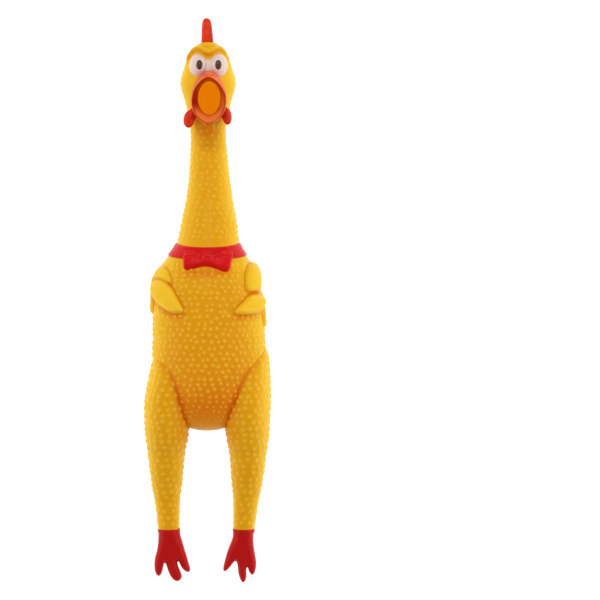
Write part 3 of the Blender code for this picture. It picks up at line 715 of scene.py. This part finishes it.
def body_painted_shade(points, normals):
    """Painted shade: lemon at the sides, gold on skin facing the front, deep orange in the groin and beside
    the legs, painted shadows under the beak, bow and wings, and painted shade round the brows.
    """
    x, y = points[:, 0], points[:, 1]
    front = fade(normals[:, 2], 0.3, 1.0)
    # Skin facing the front gets painted shade, deeper towards the hips.
    painted_shade = 0.06 + front * np.interp(y, *zip(*FRONT_PAINTED_SHADE))
    groin_shade = fade(-y, 40, 62) * (1 - fade(abs(x - 0.8), 10, 22)) * fade(points[:, 2], 8, 26)
    painted_shade += 0.16 * groin_shade * front + 0.5 * groin_shade * (1 - front)
    for side in (-1, 1):
        shade_beside_leg = 1 - fade(depth_in(leg_dense[side], points), 1.0, 1.3)
        painted_shade += 0.38 * shade_beside_leg * fade(-y, 34, 54) * fade(points[:, 2], 18, 36)
    # Painted shadows under the beak, the bow and the wings.
    shadow_below_beak = bell(y, 93.0, 5.0) * bell(x, 0, 7.0) * front
    shadow_below_bow = bell(y, 13.8, 2.5) * np.exp(-((x / 13.0) ** 4)) * front
    shadow_below_wing = fade(over_wings(points + [0, 1.6, 0]), -1.0, -0.2) * (normals[:, 2] > 0.2)
    painted_shade += 0.35 * shadow_below_beak + 0.35 * shadow_below_bow + 0.28 * shadow_below_wing
    x_face, gap = above_brow(points)
    # Painted shade under the brows and in a band above them.
    brow_shade = (y > BROW_LOW) * (1 - fade(x_face, 10, 12)) * fade(normals[:, 2], 0.05, 0.5)
    painted_shade += 0.5 * brow_shade * (bell(gap, -0.9, 1.0) + 0.5 * bell(gap, 3.4, 1.3))
    return np.clip(painted_shade, 0, 1)


def on_body(points):
    """True where the body and neck have nodules."""
    x, y, _ = points.T
    bare = ((y > 19.5) & (y < 30.8)) | (y > 97)
    bare |= (y < -67) & (abs(x) < 13)
    bare |= over_wings(points) > -0.5
    for side in (-1, 1):
        bare |= depth_in(leg_dense[side], points) < 1.03
    return ~bare


def on_head(points):
    """True at the back of the head, which has smaller nodules."""
    _, y, z = points.T
    return (y > 100) & (y < 132) & (z < 21)


def on_leg(points):
    """True where a leg has nodules: below the body's skin and above the foot."""
    return (points[:, 1] > -126) & (depth_in(body_dense, points) > 1.01)


def leg_painted_shade(side):
    """Painted shade on one leg: golden on skin facing the front, deeper on its inner side and against the
    body.
    """

    def painted_shade(points, normals):
        front = fade(normals[:, 2], 0.25, 1.0)
        # Painted shade on the inner side of the leg and against the body.
        inner = fade(-side * normals[:, 0], 0.2, 0.9) * fade(-abs(points[:, 1] + 66), -24, -8)
        shade_beside_body = 1 - fade(depth_in(body_dense, points), 1.0, 1.12)
        return np.clip(0.08 + 0.42 * front + 0.4 * inner + 0.3 * shade_beside_body * front, 0, 1)

    return painted_shade


# The line of the brows: distance out from the middle of the face, and y
BROW = [(0.0, 134.4), (1.6, 135.0), (3.4, 136.4), (5.6, 137.0), (7.8, 136.3), (9.6, 134.6), (11.2, 131.6)]
BROW += [(12.4, 127.0)]
BROW_LOW = 124  # there is no brow below this y
BROW_HEIGHT = 2.1


def above_brow(points):
    """Distance from the middle of the face, and height over the line of the brows."""
    x = abs(points[:, 0] - FACE_X)
    return x, points[:, 1] - np.interp(x, *zip(*BROW))


def face_relief(points, normals):
    """Height of the brows."""
    x, gap = above_brow(points)
    ridge = np.where(gap > 0, bell(gap, 0, 2.3), bell(gap, 0, 0.8))
    fronting = fade(normals[:, 2], 0.05, 0.5) * (points[:, 1] > BROW_LOW) * (1 - fade(x, 10.5, 12.5))
    return BROW_HEIGHT * ridge * fronting


def skin_piece(name, rows, start, end, sides, nodules, height, painted_shade, material, shape=None):
    """A stretch of skin with its nodules, from y start to y end, overlapping its neighbours by a row.

    The painted shade and the shape are functions of the skin's points and normals. Shape adds to the height
    of the nodules.
    """
    low, high = min(start, end), max(start, end)
    dense = smooth_rows(rows, STEP)
    keep = (dense[:, 0] >= low - STEP) & (dense[:, 0] <= high + STEP)
    first, last = np.flatnonzero(keep)[[0, -1]]
    grid = ring_points(dense[max(first - 1, 0) : last + 2], sides)
    normals = facing_out(grid_normals(grid), grid, grid.mean(axis=1, keepdims=True))
    cut = slice(1 if first > 0 else 0, len(grid) - 1 if last + 1 < len(dense) else len(grid))
    grid, normals = grid[cut], normals[cut]
    flat, flat_normals = grid.reshape(-1, 3), normals.reshape(-1, 3)
    share = nodule_share(flat, *nodules).reshape(grid.shape[:2])
    shade = painted_shade(flat, flat_normals).reshape(grid.shape[:2])
    lift = share * height
    if shape:
        lift = lift + shape(flat, flat_normals).reshape(grid.shape[:2])
    # Painted highlight on the nodule tips, painted shade over the skin.
    attributes = {"painted_highlight": share**1.6, "painted_shade": shade}
    return add(name, grid_mesh(name, grid + normals * lift[:, :, None], attributes), material)


def split_belly(torso, material):
    """Cuts the front of the belly off the torso, so that it can be pressed in. Shading stays as one skin."""
    mesh = torso.data
    normals = np.empty(len(mesh.vertices) * 3, np.float32)
    mesh.vertex_normals.foreach_get("vector", normals)
    layer = mesh.attributes.new("old_normal", "FLOAT_VECTOR", "POINT")
    layer.data.foreach_set("vector", normals)
    halves = []
    for name, front in (("belly_front", True), ("torso_body", False)):
        bm = bmesh.new()
        bm.from_mesh(mesh)
        bmesh.ops.bisect_plane(
            bm,
            geom=list(bm.verts) + list(bm.edges) + list(bm.faces),
            plane_co=(0, 0, BELLY_PLANE * MM),
            plane_no=(0, 0, 1),
            clear_inner=front,
            clear_outer=not front,
        )
        half = bpy.data.meshes.new(name)
        bm.to_mesh(half)
        bm.free()
        half.shade_smooth()
        stored = np.empty(len(half.vertices) * 3, np.float32)
        half.attributes["old_normal"].data.foreach_get("vector", stored)
        half.normals_split_custom_set_from_vertices(stored.reshape(-1, 3).tolist())
        half.attributes.remove(half.attributes["old_normal"])
        halves.append(add(name, half, material))
    bpy.data.objects.remove(torso)
    return halves


# ---- trim


def make_wing(side, material):
    """A wing, moulded in relief on the skin. It is laid out on the right and turned over for the left."""
    grid, normals, s = skin_patch(-22, 25, (0.15, 2.3), 170)
    s = s + round_from_front(grid[:, 0])[:, None]
    height = softened(wing_height(side, s, grid[:, :, 1]), 5)
    # Painted shade in the crease round the wing and in its hollows; a painted highlight along its ridges.
    crease_shade = fade(-height, -1.4, 0.3) * (normals[:, :, 2] > 0.1)
    hollow = softened(height, 60) - height
    painted_shade = np.clip(0.10 + 0.4 * crease_shade + 0.9 * np.clip(hollow, 0, 1), 0, 0.9)
    ridge = np.clip(-1.2 * hollow - 0.1, 0, 0.7) * (height > 1.0)
    if side < 0:
        grid, normals = grid * [-1, 1, 1], normals * [-1, 1, 1]
        grid[:, :, 0] += 2 * row_at(body_dense, grid[:, 0, 1])[3][:, None]
    return relief("wing_" + WORD[side], grid, normals, height, {"painted_shade": painted_shade, "painted_highlight": ridge}, material)


COLLAR_LOW = 24.3
COLLAR_WIDTH = 6.5
COLLAR_SAG = 2.9
# The collar's section: share of its width, and height over the skin
COLLAR_SECTION = [(-0.04, -0.8), (-0.02, 0.35), (0.03, 0.85), (0.12, 1.0), (0.5, 0.9), (0.88, 1.0)]
COLLAR_SECTION += [(0.97, 0.85), (1.02, 0.35), (1.04, -0.8)]


def make_collar(material):
    """Painted band round the root of the neck. Its front sags."""
    angles = np.linspace(0, 2 * pi, 220, endpoint=False)
    grid = np.empty((len(COLLAR_SECTION), len(angles), 3))
    for i, (share, grow) in enumerate(COLLAR_SECTION):
        y = COLLAR_LOW + COLLAR_WIDTH * share - COLLAR_SAG * np.maximum(np.sin(angles), 0) ** 1.2
        width, depth, middle, centre = row_at(body_dense, y)
        grid[i, :, 0] = centre + (width + grow) * np.cos(angles)
        grid[i, :, 1] = y
        grid[i, :, 2] = middle + (depth + grow) * np.sin(angles)
    return add("collar", grid_mesh("collar", grid, {}), material)


KNOT_X, KNOT_Y = 0.8, 20.3
# Outline of the bow tie, seen from the front
BOW = [
    (-11.6, 24.4), (-8.6, 25.6), (-4.6, 24.4), (-1.6, 22.9), (0.7, 22.3), (3.2, 22.9), (6.6, 24.7),
    (10.6, 25.9), (13.8, 25), (13.4, 20), (12.3, 14.6), (8.6, 15), (5, 16.6), (1, 17.7), (-3, 17.5),
    (-7, 16.3), (-12, 15.2), (-12.2, 20),
]


def make_bow(material):
    """The bow tie in relief: a knot, two loops with a hollow at the top, and folds out from the knot."""
    grid, normals, _ = skin_patch(10, 30, (-0.85, 0.85), 130, spacing=0.25)
    x, y = grid[:, :, 0], grid[:, :, 1]
    flat = np.stack((x.reshape(-1), y.reshape(-1)), axis=1)
    height = cushion(inside_by(flat, rounded(BOW, 2)), 3.4, 1.5).reshape(x.shape)
    out = abs(x - KNOT_X)
    up = y - (KNOT_Y + 0.03 * x)
    knot = np.exp(-((out / 2.0) ** 4) - (up / 3.0) ** 4)
    hollows = bell(out, 9.6, 2.6) * bell(up, 3.4, 1.1)
    folds = bell(up - 0.14 * out, 0, 0.8) * fade(out, 2.0, 3.4) * (1 - fade(out, 8.0, 11.0))
    folds += bell(up + 0.22 * out, 0, 0.7) * fade(out, 2.0, 3.4) * (1 - fade(out, 6.0, 10.0))
    lift = 0.9 * knot - 0.9 * hollows - 0.55 * folds + 0.5 * fade(out, 1.5, 9.0)
    height = softened(height + np.where(height > 1.0, lift, 0), 2)
    return relief("bow_tie_knotted", grid, normals, height, {}, material)


# Rings of the open beak from the face out to its rim, and from the rim down into the mouth:
# half width, half height, how pointed, centre y, level, and how far the tips reach out beyond that
BEAK_OUTER = [
    (8.2, 14.4, 0.10, 110.2, 24, 0),
    (8.6, 14.8, 0.12, 110.2, 27.5, 1.5),
    (9, 14.6, 0.16, 109.9, 30.2, 4),
    (9.25, 14, 0.20, 109.2, 32.2, 7),
    (9.3, 13.4, 0.22, 108.5, 33.4, 8.8),
    (9.1, 13, 0.22, 108.2, 33.9, 9.6),
]
BEAK_INNER = [
    (9.1, 13, 0.22, 108.2, 33.9, 9.6),
    (8.7, 12.6, 0.22, 108.1, 33.9, 9.6),
    (8.1, 12, 0.19, 108.3, 33, 8.6),
    (7.3, 11.1, 0.14, 108.9, 31.4, 6),
    (6.6, 10.2, 0.10, 109.6, 29.8, 3.4),
    (6.2, 9.6, 0.08, 110.2, 28.4, 1.6),
    (5.95, 9.35, 0.08, 110.4, 27, 0.8),
    (5.9, 9.3, 0.08, 110.4, 24, 0),
]
THROAT = [
    (5.95, 9.35, 0.08, 110.4, 25, 0),
    (6.3, 9.8, 0.08, 110.2, 20, 0),
    (6.6, 10.2, 0.05, 110, 12, 0),
    (5.5, 9, 0, 110, 6.5, 0),
    (3, 5, 0, 110, 5, 0),
]


def mouth_rings(stages):
    """Rings round the mouth, three for each step between the given ones."""
    sides, between = 128, 3
    stages = np.array(stages)
    at = np.linspace(0, len(stages) - 1, (len(stages) - 1) * between + 1)
    rows = np.stack([np.interp(at, np.arange(len(stages)), stages[:, c]) for c in range(6)], axis=1)
    angle = 2 * pi * (np.arange(sides) + 0.5) / sides
    across, up = np.cos(angle), np.sin(angle)
    width, height, pointed, centre, level, reach = (rows[:, c : c + 1] for c in range(6))
    x = width * across * (1 - pointed * abs(up) ** 3)
    return np.stack((x * BEAK_WIDER + BEAK_X, centre + height * up, level + reach * up * up), axis=2)


def make_beak(paint_outside, paint_lining):
    """The open beak and its lining. The beak's tone is brighter towards the top, where its paint fades in,
    and darker to the left as painted shade; the lining has painted light at the rim, below and a little on
    the right, and painted shade on its upper wall.
    """
    rings = mouth_rings(BEAK_OUTER)
    # Tone brighter towards the top where the paint fades in; darker to the left as painted shade.
    tone = fade(rings[:, :, 1], 100, 126) * (0.45 + 0.55 * fade(rings[:, :, 0], -6, 2))
    outer = add("beak_open", grid_mesh("beak_open", rings, {"tone": tone}), paint_outside)
    rings = mouth_rings(BEAK_INNER)
    depth = np.linspace(0, 1, len(rings))[:, None]
    # Painted light in the lining: bright at the rim and on the lower and right walls, painted shade
    # elsewhere.
    low = fade(-rings[:, :, 1], -108, -100)
    right = 0.6 * fade(rings[:, :, 0], 5.5, 7.0) * (1 - fade(rings[:, :, 1], 108, 118))
    lit_rim = 1 - fade(depth, 0.05, 0.15)
    lit_band = fade(depth, 0.16, 0.30) * (1 - 0.7 * fade(depth, 0.62, 0.75))
    tone = lit_rim + np.maximum(low, right) * lit_band
    inner = add("beak_lining", grid_mesh("beak_lining", rings, {"tone": tone}), paint_lining)
    return outer, inner


def make_throat(material):
    """A cup behind the mouth, where the throat goes on."""
    return add("throat_cup", grid_mesh("throat_cup", mouth_rings(THROAT), {}, False, True), material)


def open_mouth(head):
    """Takes out the head's skin inside the mouth."""
    bm = bmesh.new()
    bm.from_mesh(head.data)
    gone = []
    for face in bm.faces:
        middle = face.calc_center_median() / MM
        x, y = middle.x - FACE_X, middle.y - MOUTH_Y
        if middle.z > 18 and (x / 7.0) ** 2 + (y / 10.6) ** 2 < 1:
            gone.append(face)
    bmesh.ops.delete(bm, geom=gone, context="FACES")
    bm.to_mesh(head.data)
    bm.free()


def make_eyes(material):
    """Both bulging whites, joined over the bridge of the beak."""
    lumps = []
    for side in (-1, 1):
        lumps.append(lump((FACE_X + side * 5.1, 128.2, 25.5), (5.6, 6.9, 7.4), segments=48, rings=32))
    lumps.append(lump((FACE_X, 127.6, 25.5), (3.0, 5.6, 6.6)))
    return soft_union("eye_whites", lumps, 0.28, 8, material)


def make_pupil(side, material):
    """A flat oval button on the front of a white."""
    centre = (FACE_X + 0.35 + side * 5.2, 128.3, 31.95)
    name = "pupil_dot_" + WORD[side]
    dot = add(name, lump(centre, (1.9, 2.75, 1.5), (-6, side * 4, 0), segments=48, rings=32), material)
    dot.data.shade_smooth()
    return dot


# Outline of the comb from the side: z and y
COMB = [
    (22, 134), (24.6, 140), (26, 144), (25.2, 147.2), (23.6, 146.4), (22.4, 144.8), (21.2, 148.4),
    (19.4, 153), (17.4, 151.4), (16.3, 147.8), (15, 152.2), (13, 156.4), (11, 153.4), (9.8, 148),
    (8.2, 149.4), (6.2, 151), (4.6, 147.8), (3.6, 143.5), (2.2, 141.8), (2.6, 138), (5, 133),
    (15, 130),
]


def make_comb(material):
    """The comb, thinner to its tips, leaning a little to the left, with painted shade on its right face."""
    plate = puffed(
        COMB,
        half=lambda v: np.interp(v, [139, 148, 155], [3.4, 2.95, 2.6]),
        edge=lambda v: np.full_like(v, 2.3),
        middle=lambda v: np.interp(v, [140, 155], [0.15, -0.6]),
        axes="wvu",
    )
    comb = soft_union("comb_fin", [plate], 0.3, 4, material)
    x = np.array([vertex.co.x for vertex in comb.data.vertices]) / MM
    # Painted shade darkening the comb's right face.
    set_attribute(comb.data, "tone", 0.8 * fade(x, 0.6, 3.0))
    return comb


def make_wattle(side, material):
    """A lobe that hangs from the jaw beside the beak."""
    place = (-9.9, 98.9, 24.0) if side < 0 else (10.9, 100.5, 24.0)
    sizes = (3.2, 5.0, 2.9) if side < 0 else (2.7, 4.9, 2.9)
    root = (place[0] - side * 1.5, place[1] + 2.0, place[2])
    lumps = [
        lump(place, sizes, (0, side * 18, side * 8)),
        lump(root, (2.6, 4.2, 2.4), (0, side * 18, side * 12)),
    ]
    wattle = soft_union("wattle_lobe_" + WORD[side], lumps, 0.3, 5, material)
    set_attribute(wattle.data, "tone", np.full(len(wattle.data.vertices), 0.25))
    return wattle


# Outlines of the feet seen from the front, from the ankle round by the toes
FEET = {
    -1: [
        (-27.5, -126), (-27.6, -129), (-27.4, -131), (-27.7, -136), (-28.4, -140.5), (-29.6, -144),
        (-30, -149.6), (-29, -153.8), (-27, -154.8), (-25.4, -152.4), (-24.6, -147.6), (-24, -146.6),
        (-23.2, -148), (-21.8, -153), (-19.8, -156.4), (-16.8, -157.8), (-14.3, -155.6), (-14.8, -152.6),
        (-16.4, -149.5), (-17.2, -145.8), (-16.6, -145.2), (-15.4, -148.4), (-13.6, -151.2), (-11, -152.6),
        (-9.5, -151.2), (-10.6, -147), (-12.2, -141.5), (-14.2, -134.5), (-15.2, -131), (-15.3, -129),
        (-15.4, -126),
    ],
    1: [
        (14, -126), (13.8, -129), (14, -131), (13.4, -134), (11, -139.5), (9.2, -146), (8.2, -150.6),
        (9, -152.2), (11.2, -150.9), (14, -147), (15.4, -145.6), (16.2, -147), (16.6, -150),
        (17, -154.2), (19.2, -159), (21.6, -156), (21.3, -151), (21.6, -148), (22.2, -149.6),
        (23, -152.6), (24.8, -154.3), (26.3, -152.2), (27.1, -147.5), (26.4, -143), (25.4, -137),
        (25.3, -131), (26.1, -129), (26, -126),
    ],
}


def make_foot(side, material):
    """A three-toed foot, with the thick edge of the paint round the ankle."""
    ankle = side * LEG[-1][4] + float(leg_shift(ANKLE))
    plate = puffed(
        FEET[side],
        half=lambda v: np.interp(-v, [126, 130, 134, 140, 147, 156], [5.2, 5.9, 5.2, 3.9, 3.3, 2.7]),
        edge=lambda v: np.interp(-v, [126, 132, 140, 147, 156], [6.0, 5.6, 4.0, 3.0, 2.6]),
        middle=lambda v: np.interp(-v, [126, 130, 138, 147, 156], [10.0, 9.9, 8.4, 6.6, 4.8]),
        axes="uvw",
        voxel=0.35,
    )
    stations = [(-124.5, 10.2), (-127.6, 10), (-128.4, 10), (-129.4, 10), (-131, 9.9)]
    edge_of_paint = tube(
        [(ankle, y, z) for y, z in stations],
        [(5.0, 5.2), (5.9, 6.2), (6.25, 6.5), (6.1, 6.4), (5.4, 5.6)],
    )
    name = "foot_" + WORD[side]
    return soft_union(name, [plate, edge_of_paint], 0.32, 4, material)


# ---- build

skin = vinyl()
red = paint("glossy_red_paint", (0.560, 0.004, 0.003), (0.44, 0.002, 0.002), 0.30)
# The comb's paint darkens into painted shade on its right face; the wattles use one fixed tone.
comb_red = two_tone_paint_with_painted_light("comb_red_paint", (0.760, 0.040, 0.006), (0.46, 0.010, 0.003), 0.28)
bright_red = paint("collar_red_paint", (0.700, 0.004, 0.006), (0.58, 0.003, 0.004), 0.28)
# Beak paints: low tones are painted shade, high tones painted light.
orange_red = two_tone_paint_with_painted_light("beak_orange_paint", (0.62, 0.018, 0.004), (0.86, 0.120, 0.018), 0.28)
lining_red = two_tone_paint_with_painted_light("beak_lining_paint", (0.40, 0.003, 0.001), (1.00, 0.240, 0.050), 0.32)
white = paint("eye_white_paint", (0.84, 0.66, 0.60), (0.76, 0.56, 0.50), 0.24)
dark = paint("pupil_brown_paint", (0.080, 0.036, 0.018), (0.050, 0.020, 0.010), 0.10, 0.4, 0.0)
# Throat skin with a painted glow.
inside = throat_vinyl_with_painted_glow()
off_white = paint("squeaker_moulding", (0.74, 0.74, 0.70), (0.66, 0.66, 0.62), 0.42)
film = paint("reed_leaf", (0.20, 0.45, 0.60), (0.16, 0.38, 0.52), 0.28)

BODY_PITCH = 3.8  # distance between nodules
HEAD_PITCH = 4.2
LEG_PITCH = 4.1
random = np.random.default_rng(11)
body_centres = nodule_centres(BODY, BODY_PITCH, 3, on_body)
head_centres = nodule_centres(BODY, HEAD_PITCH, 5, on_head)
on_neck = body_centres[:, 1] > 30
body_radii = random.uniform(1.2, 1.6, len(body_centres)) * np.where(on_neck, 0.85, 1.0)
body_radii *= np.interp(body_centres[:, 1], [-66, -48], [0.55, 1.0])
body_nodules = (
    np.vstack((body_centres, head_centres)),
    np.concatenate((body_radii, random.uniform(0.8, 1.05, len(head_centres)))),
)

of_body = {"rows": BODY, "nodules": body_nodules, "painted_shade": body_painted_shade, "material": skin}
bottom, top = BODY[0][0], BODY[-1][0]
torso = skin_piece("torso_all", start=bottom, end=TORSO_TOP, sides=340, height=0.55, **of_body)
belly, torso = split_belly(torso, skin)
neck_lower = skin_piece("neck_root", start=TORSO_TOP, end=NECK_SPLIT, sides=240, height=0.45, **of_body)
neck_upper = skin_piece("neck_throat", start=NECK_SPLIT, end=HEAD_START, sides=160, height=0.38, **of_body)
head = skin_piece(
    "head_face", start=HEAD_START, end=top, sides=240, height=0.28, shape=face_relief, **of_body
)
open_mouth(head)

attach(torso, "torso")
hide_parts("torso_skin")
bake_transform(belly)
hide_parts("belly_panel")
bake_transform(neck_lower)
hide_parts("neck_lower_skin")
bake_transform(neck_upper)
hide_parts("neck_upper_skin")
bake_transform(head)
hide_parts("head_skin")

collar = make_collar(bright_red)
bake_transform(collar)
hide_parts("collar_band")
bow = make_bow(bright_red)
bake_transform(bow)
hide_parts("bow_tie")

beak, lining = make_beak(orange_red, lining_red)
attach(beak, "head")
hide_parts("beak")
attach(lining, "head")
throat = make_throat(inside)
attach(throat, "head")
comb = make_comb(comb_red)
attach(comb, "head")
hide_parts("comb")
eyes = make_eyes(white)
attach(eyes, "head")
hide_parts("left_eye", "right_eye")

for side, word in ((-1, "left"), (1, "right")):
    pupil = make_pupil(side, dark)
    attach(pupil, "head")
    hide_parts(word + "_pupil")
    wattle = make_wattle(side, comb_red)
    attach(wattle, "head")
    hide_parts(word + "_wattle")
    wing = make_wing(side, skin)
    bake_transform(wing)
    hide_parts(word + "_wing")

    rows = leg_rows(side)
    centres = nodule_centres(rows, LEG_PITCH, 20 + side, on_leg)
    nodules = (centres, random.uniform(1.4, 1.8, len(centres)))
    of_leg = {"rows": rows, "nodules": nodules, "painted_shade": leg_painted_shade(side), "material": skin}
    hip = LEG[0][0]
    thigh = skin_piece("thigh_" + word, start=hip, end=THIGH_SPLIT, sides=200, height=0.55, **of_leg)
    shank = skin_piece("leg_upper_" + word, start=THIGH_SPLIT, end=LEG_SPLIT, sides=150, height=0.5, **of_leg)
    lower = skin_piece("leg_lower_" + word, start=LEG_SPLIT, end=ANKLE, sides=110, height=0.26, **of_leg)
    foot = make_foot(side, red)
    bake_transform(thigh)
    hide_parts(word + "_thigh_skin")
    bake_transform(shank)
    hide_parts(word + "_shank_skin")
    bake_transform(lower)
    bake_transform(foot)
    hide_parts(word + "_foot")

for node in ("squeaker_housing", "squeaker_reed_seat", "squeaker_reed_wedge", "squeaker_reed"):
    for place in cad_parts[node].material_slots:
        place.material = film if node == "squeaker_reed" else off_white

# ---- studio


def area_light(name, place, size, power):
    """A soft box that faces the toy."""
    data = bpy.data.lights.new(name, "AREA")
    data.shape = "RECTANGLE"
    data.size, data.size_y = size
    data.energy = power
    light = bpy.data.objects.new(name, data)
    light.location = place
    towards = Vector((0, 0, 0.02)) - Vector(place)
    light.rotation_euler = towards.to_track_quat("-Z", "Y").to_euler()
    bpy.context.collection.objects.link(light)


FLOOR_Z = -0.085  # metres; below the head when the neck bends back
floor_mesh = bpy.data.meshes.new("floor")
floor_mesh.from_pydata([(-4, -4, 0), (4, -4, 0), (4, 4, 0), (-4, 4, 0)], [], [(0, 1, 2, 3)])
floor_material, _, floor_shader = node_material("pale_floor")
floor_shader.inputs["Base Color"].default_value = (0.50, 0.50, 0.50, 1.0)
floor_shader.inputs["Roughness"].default_value = 0.9
floor_shader.inputs["Specular IOR Level"].default_value = 0.0
floor_shader.inputs["Emission Color"].default_value = (1.0, 1.0, 1.0, 1.0)
floor_shader.inputs["Emission Strength"].default_value = 0.75
floor = add("floor", floor_mesh, floor_material)
floor.location.z = FLOOR_Z

area_light("left_box", (-0.80, 0.05, 0.36), (1.3, 0.6), 3.0)
area_light("right_box", (0.80, 0.05, 0.36), (1.3, 0.6), 3.5)
area_light("top_box", (0.0, 0.75, 0.95), (0.30, 0.12), 2.6)

world = bpy.data.worlds.new("studio")
bpy.context.scene.world = world
world.use_nodes = True
world.node_tree.nodes["Background"].inputs["Color"].default_value = (1.0, 1.0, 1.0, 1.0)
world.node_tree.nodes["Background"].inputs["Strength"].default_value = 0.5

LENS = 200.0
SENSOR = 36.0
PICTURE_WIDTH = 0.3304  # metres across the picture at the height of MIDDLE_Z
MIDDLE_Z = 0.025
camera_data = bpy.data.cameras.new("camera")
camera_data.lens = LENS
camera_data.sensor_width = SENSOR
camera_data.clip_end = 20.0
camera = bpy.data.objects.new("camera", camera_data)
camera.location = (0.0512, -0.0008, MIDDLE_Z + LENS / SENSOR * PICTURE_WIDTH)
bpy.context.collection.objects.link(camera)
bpy.context.scene.camera = camera
bpy.context.scene.view_settings.view_transform = "Standard"
